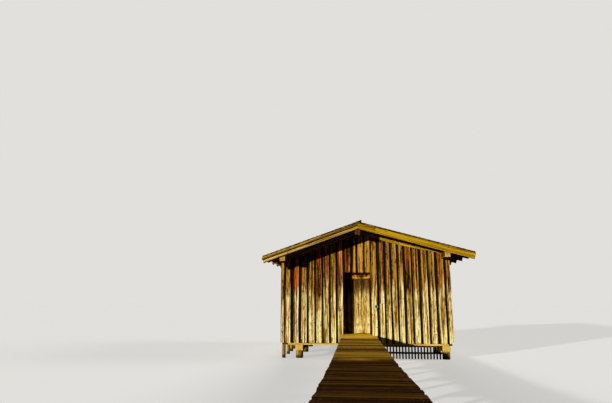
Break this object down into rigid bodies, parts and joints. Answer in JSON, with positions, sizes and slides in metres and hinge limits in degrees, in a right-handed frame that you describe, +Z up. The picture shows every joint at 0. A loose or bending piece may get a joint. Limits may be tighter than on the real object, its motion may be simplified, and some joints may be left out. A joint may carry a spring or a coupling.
{
  "type": "boathouse",
  "caption": "Timber boathouse on piles with vertical board walls, low gable roof, inward-opening door, open boat bay and a plank gangway.",
  "frame": {"origin": "middle of the bounding box on the water level where the piles are cut off", "axes": "+Y from the shore end of the gangway through the hut towards the lake, +X to the right seen from the shore, +Z up"},
  "size_m": [6.591, 18.74, 4.2592],
  "materials": {
    "weathered_boards": "weathered, unpainted",
    "pale_boards": "weathered pale, unpainted",
    "bare_timber": "weathered, sawn",
    "frame_timber": "aged, sawn",
    "barge_timber": "weathered, planed",
    "roof_covering": "boards with a dark mossy covering",
    "pile_timber": "wet, round",
    "dark_timber": "damp, sawn",
    "deck_planks": "worn planks",
    "dark_iron": "rusted",
    "zinc": "dull zinc"
  },
  "bodies": {
    "boathouse": {"piles_left": "pile_timber", "piles_middle": "pile_timber", "piles_right": "pile_timber", "bearer_left": "bare_timber", "bearer_middle": "bare_timber", "bearer_right": "bare_timber", "front_sill": "frame_timber", "floor_joists": "frame_timber", "right_sill": "frame_timber", "sill_strip": "bare_timber", "floor_boards": "frame_timber", "water_grille": "dark_timber", "front_frame": "frame_timber", "left_frame": "frame_timber", "right_frame": "frame_timber", "rear_frame": "frame_timber", "front_wall_left": "weathered_boards", "front_wall_right": "weathered_boards", "front_wall_over_door": "weathered_boards", "left_wall": "weathered_boards", "right_wall": "weathered_boards", "rear_wall_left": "weathered_boards", "rear_wall_over_bay": "weathered_boards", "wall_plate_left": "bare_timber", "wall_plate_right": "bare_timber", "ridge_purlin": "bare_timber", "rafters_left": "frame_timber", "rafters_right": "frame_timber", "roof_left": "roof_covering", "roof_right": "roof_covering", "barge_left_upper": "barge_timber", "barge_left_lower": "barge_timber", "barge_right_outer": "barge_timber", "barge_right_inner": "barge_timber", "rear_barge_left": "barge_timber", "rear_barge_right": "barge_timber", "frieze": "bare_timber", "door_frame": "bare_timber", "hinge_pintles": "dark_iron", "lock_ring": "zinc", "gangway_piles": "pile_timber", "gangway_crossbeams": "dark_timber", "gangway_beams": "dark_timber", "gangway_deck": "deck_planks"},
    "door": {"door_leaf": "pale_boards", "door_ledges": "pale_boards", "door_straps": "dark_iron", "door_knob": "dark_timber"}
  },
  "joints": [
    {"name": "door_hinge", "type": "hinge", "parent": "boathouse", "child": "door", "pos_m": [-0.8149, 3.076, 1.635], "axis": [0, 0, 1], "range_deg": [0, 95]}
  ]
}
